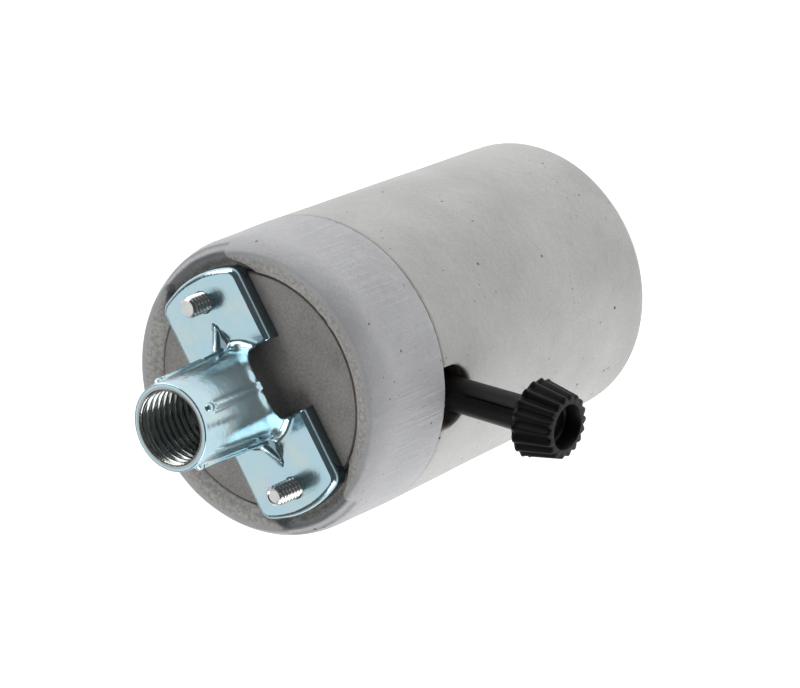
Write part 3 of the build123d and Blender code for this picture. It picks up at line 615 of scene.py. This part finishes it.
def drawn_bracket():
    """The drawn strap and barrel as one sheet, with the pipe thread cut in the barrel."""
    extras = [dart(side) for side in (1, -1)] + [rib_bump(k * math.pi / 2) for k in range(4)]
    obj = even_copy("bracket", "drawn_bracket", sheet_voxel, 4, extras)
    points = coordinates(obj.data)
    radius = np.hypot(points[:, 0], points[:, 1])
    height = points[:, 2]
    slope = (barrel_root_radius - barrel_rim_radius) / (rim_z - strap_top - flare_radius)
    bearing = np.arctan2(points[:, 1], points[:, 0])
    wall = barrel_rim_radius + slope * (rim_z - height)
    # the barrel's outside, with ribs as smooth ridges; darts and pips keep their own shape
    beside_dart = (np.abs(points[:, 1]) < 2.2 * MM) & (height < strap_top + 6.4 * MM)
    beside_pip = np.abs(height - rim_z + rib_end_gap) < 1.0 * MM
    proud = radius - wall
    outside = (np.abs(proud - 0.15 * MM) < 0.55 * MM) & (height > strap_top + flare_radius)
    outside &= (height < rim_z - 0.4 * MM) & ~beside_dart
    past_arch = np.hypot(points[:, 0], height - arch_z) - arch_radius
    outside &= past_arch > 0.35 * MM
    outside &= ~(beside_pip & (proud > 0.08 * MM))
    target = (wall + rib_swell(bearing, height)) / np.maximum(radius, 1e-9)
    points[outside, 0] *= target[outside]
    points[outside, 1] *= target[outside]
    radius = np.hypot(points[:, 0], points[:, 1])
    # flat top of the strap
    flat = (np.abs(height - strap_top) < 0.06 * MM) & (radius > barrel_root_radius + flare_radius)
    points[flat, 2] = strap_top
    # the pipe thread, fading out at the barrel's mouth
    bore = (np.abs(radius - bore_radius) < 0.25 * MM) & (height > strap_top - 1 * MM)
    depth = pipe_groove_depth * thread_groove(height - rim_z, bearing, pipe_pitch)
    depth *= np.clip((rim_z - 0.25 * MM - height) / (0.9 * MM), 0, 1)
    depth *= np.clip((past_arch - 0.4 * MM) / (1.6 * MM), 0, 1)
    target = (bore_radius + depth) / np.maximum(radius, 1e-9)
    points[bore, 0] *= target[bore]
    points[bore, 1] *= target[bore]
    set_coordinates(obj.data, arch_edge(points, obj.data))
    return place(obj, "zinc_plate", "socket", "bracket")


drawn_bracket()


# ------------------------------------------------------------------ long screws
def helical_rod(base, top, radius, depth, pitch, chamfer, steps=48, rows_per_pitch=12):
    """Rings of a rod with a rolled thread, chamfered at its top."""
    rows = int((top - base) / pitch * rows_per_pitch)
    around = np.arange(steps) * TURN / steps
    rings = []
    for j in range(rows + 1):
        z = base + (top - base) * j / rows
        groove = thread_groove(z, around, pitch)
        fade = min(1.0, (z - base) / (2 * pitch))
        wall = radius - depth * fade * groove
        wall = np.minimum(wall, radius - chamfer + (top - z))
        rings.append(np.stack([wall * np.cos(around), wall * np.sin(around), np.full(steps, z)], 1))
    return rings


def plain_ring(radius, z, steps=48):
    """One ring of points about Z."""
    around = np.arange(steps) * TURN / steps
    return np.stack([radius * np.cos(around), radius * np.sin(around), np.full(steps, z)], 1)


def screw_tip(side):
    """Height of the long screw's tip on one ear."""
    node = frame["nodes"]["long_screws"]
    places = [node.matrix_world @ vertex.co for vertex in node.data.vertices]
    return max(place.z for place in places if place.x * side > 0)


def long_screw(side):
    """Slotted machine screw: head in the web, rolled thread out through the strap."""
    tip = screw_tip(side)
    foot = screws_low.z
    head_top = foot + screw_head_height
    thread_start = tip - 20 * MM
    chamfer = 0.45 * MM
    dish = 0.18 * MM
    rings = [
        plain_ring(0.05 * MM, foot),
        plain_ring(screw_head_radius - 0.7 * MM, foot),
        plain_ring(screw_head_radius - 0.22 * MM, foot + 0.2 * MM),
        plain_ring(screw_head_radius, foot + 0.7 * MM),
        plain_ring(screw_head_radius, head_top - 0.05 * MM),
        plain_ring(screw_head_radius - 0.05 * MM, head_top),
        plain_ring(screw_radius, head_top),
    ]
    rings += helical_rod(thread_start, tip, screw_radius, 0.42 * MM, screw_pitch, chamfer)
    face = screw_radius - chamfer
    rings.append(plain_ring(face - 0.12 * MM, tip))
    rings.append(plain_ring(face - 0.28 * MM, tip - dish * (side < 0)))
    rings.append(plain_ring(0.05 * MM, tip - dish * (side < 0)))
    points, faces = loft(rings, close_ends=True)
    name = "long_screw_" + ("right" if side > 0 else "left")
    obj = add_object(name, points, faces)
    obj.data.transform(Matrix.Translation((side * ear_x, 0, 0)))
    slot_width, slot_depth = 0.9 * MM, 0.8 * MM
    slot = (2 * screw_head_radius + MM, slot_width, 2 * slot_depth)
    cutter = block(Vector((side * ear_x, 0, foot)), slot)
    subtract(obj, cutter)
    return soften(obj, 30)


def block(centre, size):
    """A box used as a cutter."""
    half = Vector(size) / 2
    corners = [(x, y, z) for z in (-1, 1) for x, y in ((-1, -1), (1, -1), (1, 1), (-1, 1))]
    points = [centre + Vector((x * half.x, y * half.y, z * half.z)) for x, y, z in corners]
    sides = [(i, (i + 1) % 4, 4 + (i + 1) % 4, 4 + i) for i in range(4)]
    return add_object("cutter", points, [(3, 2, 1, 0), (4, 5, 6, 7)] + sides)


def subtract(obj, cutter):
    """Cut one mesh by another, exactly, and drop the cutter."""
    cut = obj.modifiers.new("cut", "BOOLEAN")
    cut.operation = "DIFFERENCE"
    cut.solver = "EXACT"
    cut.object = cutter
    graph = bpy.context.evaluated_depsgraph_get()
    mesh = bpy.data.meshes.new_from_object(obj.evaluated_get(graph))
    obj.modifiers.clear()
    obj.data = mesh
    bpy.data.objects.remove(cutter)


for side in (1, -1):
    place(long_screw(side), "plated_screw", "socket", "long_screws")


# ------------------------------------------------------------------ knob
knob_steps_per_flute = 16
knob_flutes = 18


def spindle_frame():
    """Rows are the knob's sideways, upward and outward directions."""
    up = Vector((0, 0, 1))
    sideways = up.cross(spindle_axis)
    return sideways, up, spindle_axis


def turn_knob():
    """Tapered shaft with a moulding slit, fluted head, plain front ring and deep recess."""
    steps = knob_steps_per_flute * knob_flutes
    around = np.arange(steps) * TURN / steps
    flute = np.abs((around / TURN * knob_flutes) % 1.0 - 0.5) * 2
    valley = np.clip((flute - 0.10) / 0.80, 0, 1) ** 1.25
    slit_gap = np.abs((around - math.radians(62) + math.pi) % TURN - math.pi)
    slit = np.clip(1 - slit_gap / math.radians(5.5), 0, 1)
    start, head, front = 9.6 * MM, 39.6 * MM, 46.6 * MM
    shaft_in, shaft_out = 2.8 * MM, 2.95 * MM
    back, tip = 6.6 * MM, 5.35 * MM
    recess, recess_floor = 3.65 * MM, 43.5 * MM
    bore, bore_end = 1.62 * MM, 24.4 * MM
    rings = []

    def ring(wall, s):
        rings.append((np.broadcast_to(wall, (steps,)).copy(), s))

    ring(bore, start)
    ring(shaft_in - 0.25 * MM, start)
    ring(shaft_in, start + 0.25 * MM)
    shaft_rows = 60
    for j in range(1, shaft_rows + 1):
        t = j / shaft_rows
        s = start + 0.25 * MM + (head - 0.9 * MM - start) * t
        wall = shaft_in + (shaft_out - shaft_in) * t
        inside = min(1.0, max(0.0, (s - 27 * MM) / MM)) * min(1.0, max(0.0, (38.6 * MM - s) / MM))
        ring(wall - 0.32 * MM * inside * slit, s)
    ring(shaft_out + 0.12 * MM, head - 0.35 * MM)
    ring(shaft_out + 0.55 * MM, head)
    # back face, flutes and front ring
    ring(back - 1.15 * MM, head)
    depth = 0.62 * MM
    for lift, inset in ((0.02, 0.95), (0.22, 0.45), (0.50, 0.12), (0.75, 0.0)):
        ring(back - inset * MM - depth * valley * min(1.0, lift / 0.5), head + lift * MM)
    flute_rows = 14
    for j in range(1, flute_rows + 1):
        t = j / flute_rows
        s = head + 0.75 * MM + (front - 0.35 * MM - head - 0.75 * MM) * t
        ring(back + (tip - back) * (0.11 + 0.89 * t) - depth * valley, s)
    ring(tip - 0.10 * MM - depth * valley, front - 0.12 * MM)
    ring(tip - 0.30 * MM - depth * valley, front)
    ring(recess + 0.18 * MM, front)
    ring(recess, front - 0.22 * MM)
    ring(recess - 0.12 * MM, recess_floor + 0.3 * MM)
    ring(recess - 0.45 * MM, recess_floor)
    ring(0.05 * MM, recess_floor)
    sideways, up, out = spindle_frame()
    lofted = []
    for wall, s in rings:
        flat = np.stack([wall * np.cos(around), wall * np.sin(around), np.full(steps, s)], 1)
        lofted.append(flat)
    blind = [plain_ring(0.05 * MM, bore_end, steps), plain_ring(bore, bore_end, steps)]
    points, faces = loft(blind + lofted, close_ends=True)
    basis = Matrix((sideways, up, out)).transposed().to_4x4()
    basis.translation = spindle_point
    obj = add_object("turn_knob", points, faces)
    obj.data.transform(basis)
    return place(soften(obj, 38), "knob_plastic", "knob_assembly", "knob")


turn_knob()


# ------------------------------------------------------------------ lamp shell
def rolled_shell():
    """Drawn shell with a rolled right-handed helical thread and a flat floor."""
    steps, pitch = 180, 6.35 * MM
    minor, major, sheet = 18.25 * MM, 19.9 * MM, 0.5 * MM
    edge, top = shell_low.z, shell_high.z
    thread_end = edge + 1.3 * MM + 4.3 * pitch
    around = np.arange(steps) * TURN / steps
    rows = 96
    inner = []
    for j in range(rows + 1):
        z = edge + (thread_end - edge) * j / rows
        phase = (z - edge) / pitch - around / TURN
        swell = 0.5 - 0.5 * np.cos(TURN * phase)
        swell = np.clip(1.35 * swell - 0.175, 0, 1)
        near_end = min(1.0, (thread_end - z) / (1.2 * pitch))
        lead_in = min(1.0, (z - edge) / (0.6 * pitch))
        wall = minor + (major - minor) * (swell * near_end * lead_in + (1 - lead_in))
        inner.append((wall, z))
    floor_z, shoulder_z = top - 0.6 * MM, 34 * MM
    shoulder = [
        (18.0, 31.6),
        (17.2, 34.2),
        (15.6, 37.2),
        (14.6, 38.8),
        (13.8, 39.3),
        (13.2, 39.4),
        (6.5, 39.4),
    ]
    profile = inner + [(np.full(steps, r * MM), min(z * MM, floor_z)) for r, z in shoulder]
    rings = []
    for wall, z in profile:
        rings.append(np.stack([wall * np.cos(around), wall * np.sin(around), np.full(steps, z)], 1))
    outer = []
    for wall, z in profile:
        thick = wall + sheet * (1.0 if z < floor_z - 0.05 * MM else 0.0)
        turned = min(1.0, max(0.0, (z - shoulder_z) / (floor_z - shoulder_z)))
        level = z + (top - floor_z) * turned
        outer.append(np.stack([thick * np.cos(around), thick * np.sin(around), np.full(steps, level)], 1))
    points, faces = loft(rings + outer[::-1], wrap=True)
    obj = add_object("rolled_shell", points, faces)
    return place(soften(obj, 45), "nickel_shell", "socket", "screw_shell")


rolled_shell()


# ------------------------------------------------------------------ floor, light and camera
def pale_floor():
    """Large pale floor that turns up far behind the object."""
    radius, lift, bend = 3.0, 1.1, 0.8
    steps = 96
    rings = [plain_ring(0.001, 0, steps)]
    rings += [plain_ring(radius * k / 6, 0, steps) for k in range(1, 7)]
    for k in range(1, 9):
        angle = math.pi / 2 * k / 8
        rings.append(plain_ring(radius + bend * math.sin(angle), bend * (1 - math.cos(angle)), steps))
    rings.append(plain_ring(radius + bend, lift, steps))
    points, faces = loft(rings)
    floor = soften(add_object("floor", points, faces))
    floor.location.z = -0.02 * MM
    r = Recipe("pale_floor")
    r.set(base_color=(0.86, 0.86, 0.86, 1), roughness=0.9, specular_ior_level=0.1)
    # painted light: the floor glows, most strongly near the object, which washes out the object's contact shadow
    # on it
    r.set(emission_color=(1, 1, 1, 1))
    distance = r.radius()[0]
    glow = r.ramp(distance, 0.3, 1.2, 0.70, 0.30)
    r.links.new(glow, r.shader.inputs["Emission Strength"])
    floor.data.materials.append(r.finish())


def softbox(name, offset, size, power, aim):
    """A soft square light, turned to face the aim point."""
    light = bpy.data.lights.new(name, "AREA")
    light.shape = "RECTANGLE"
    light.size, light.size_y = size
    light.energy = power
    lamp = bpy.data.objects.new(name, light)
    lamp.location = aim + Vector(offset)
    lamp.rotation_mode = "QUATERNION"
    lamp.rotation_quaternion = Vector(offset).to_track_quat("Z", "Y")
    bpy.context.scene.collection.objects.link(lamp)


def studio():
    """Soft light from both sides and from behind, over a dim surround."""
    centre = (cad_low + cad_high) / 2
    softbox("key_softbox", (1.0, 0.20, 0.46), (0.9, 0.7), 5.9, centre)
    softbox("rear_softbox", (0.05, 0.85, 1.0), (1.0, 0.8), 2.3, centre)
    softbox("fill_softbox", (-1.0, 0.10, 0.55), (0.8, 0.8), 6.6, centre)
    world = bpy.data.worlds.new("surround")
    world.use_nodes = True
    world.node_tree.nodes["Background"].inputs["Color"].default_value = (0.07, 0.075, 0.08, 1)
    bpy.context.scene.world = world
    bpy.context.scene.view_settings.view_transform = "Standard"


def photographer():
    """A long lens, rolled so that the barrel points down and to the left."""
    target = Vector((-2.0, 0.1, 39.6)) * MM
    distance, bearing = 0.8332, math.radians(-94.1)
    elevation, roll = math.radians(49.47), math.radians(-113.03)
    level = math.cos(elevation)
    back = Vector((level * math.cos(bearing), level * math.sin(bearing), math.sin(elevation)))
    right = (-back).cross(Vector((0, 0, 1))).normalized()
    up = right.cross(-back)
    turned = right * math.cos(roll) + up * math.sin(roll)
    raised = turned.cross(-back)
    lens = bpy.data.cameras.new("camera")
    lens.lens = 225
    lens.sensor_width = 36
    lens.clip_start, lens.clip_end = 0.05, 20
    camera = bpy.data.objects.new("camera", lens)
    basis = Matrix((turned, raised, back)).transposed().to_4x4()
    basis.translation = target + back * distance
    camera.matrix_world = basis
    bpy.context.scene.collection.objects.link(camera)
    bpy.context.scene.camera = camera


pale_floor()
studio()
photographer()
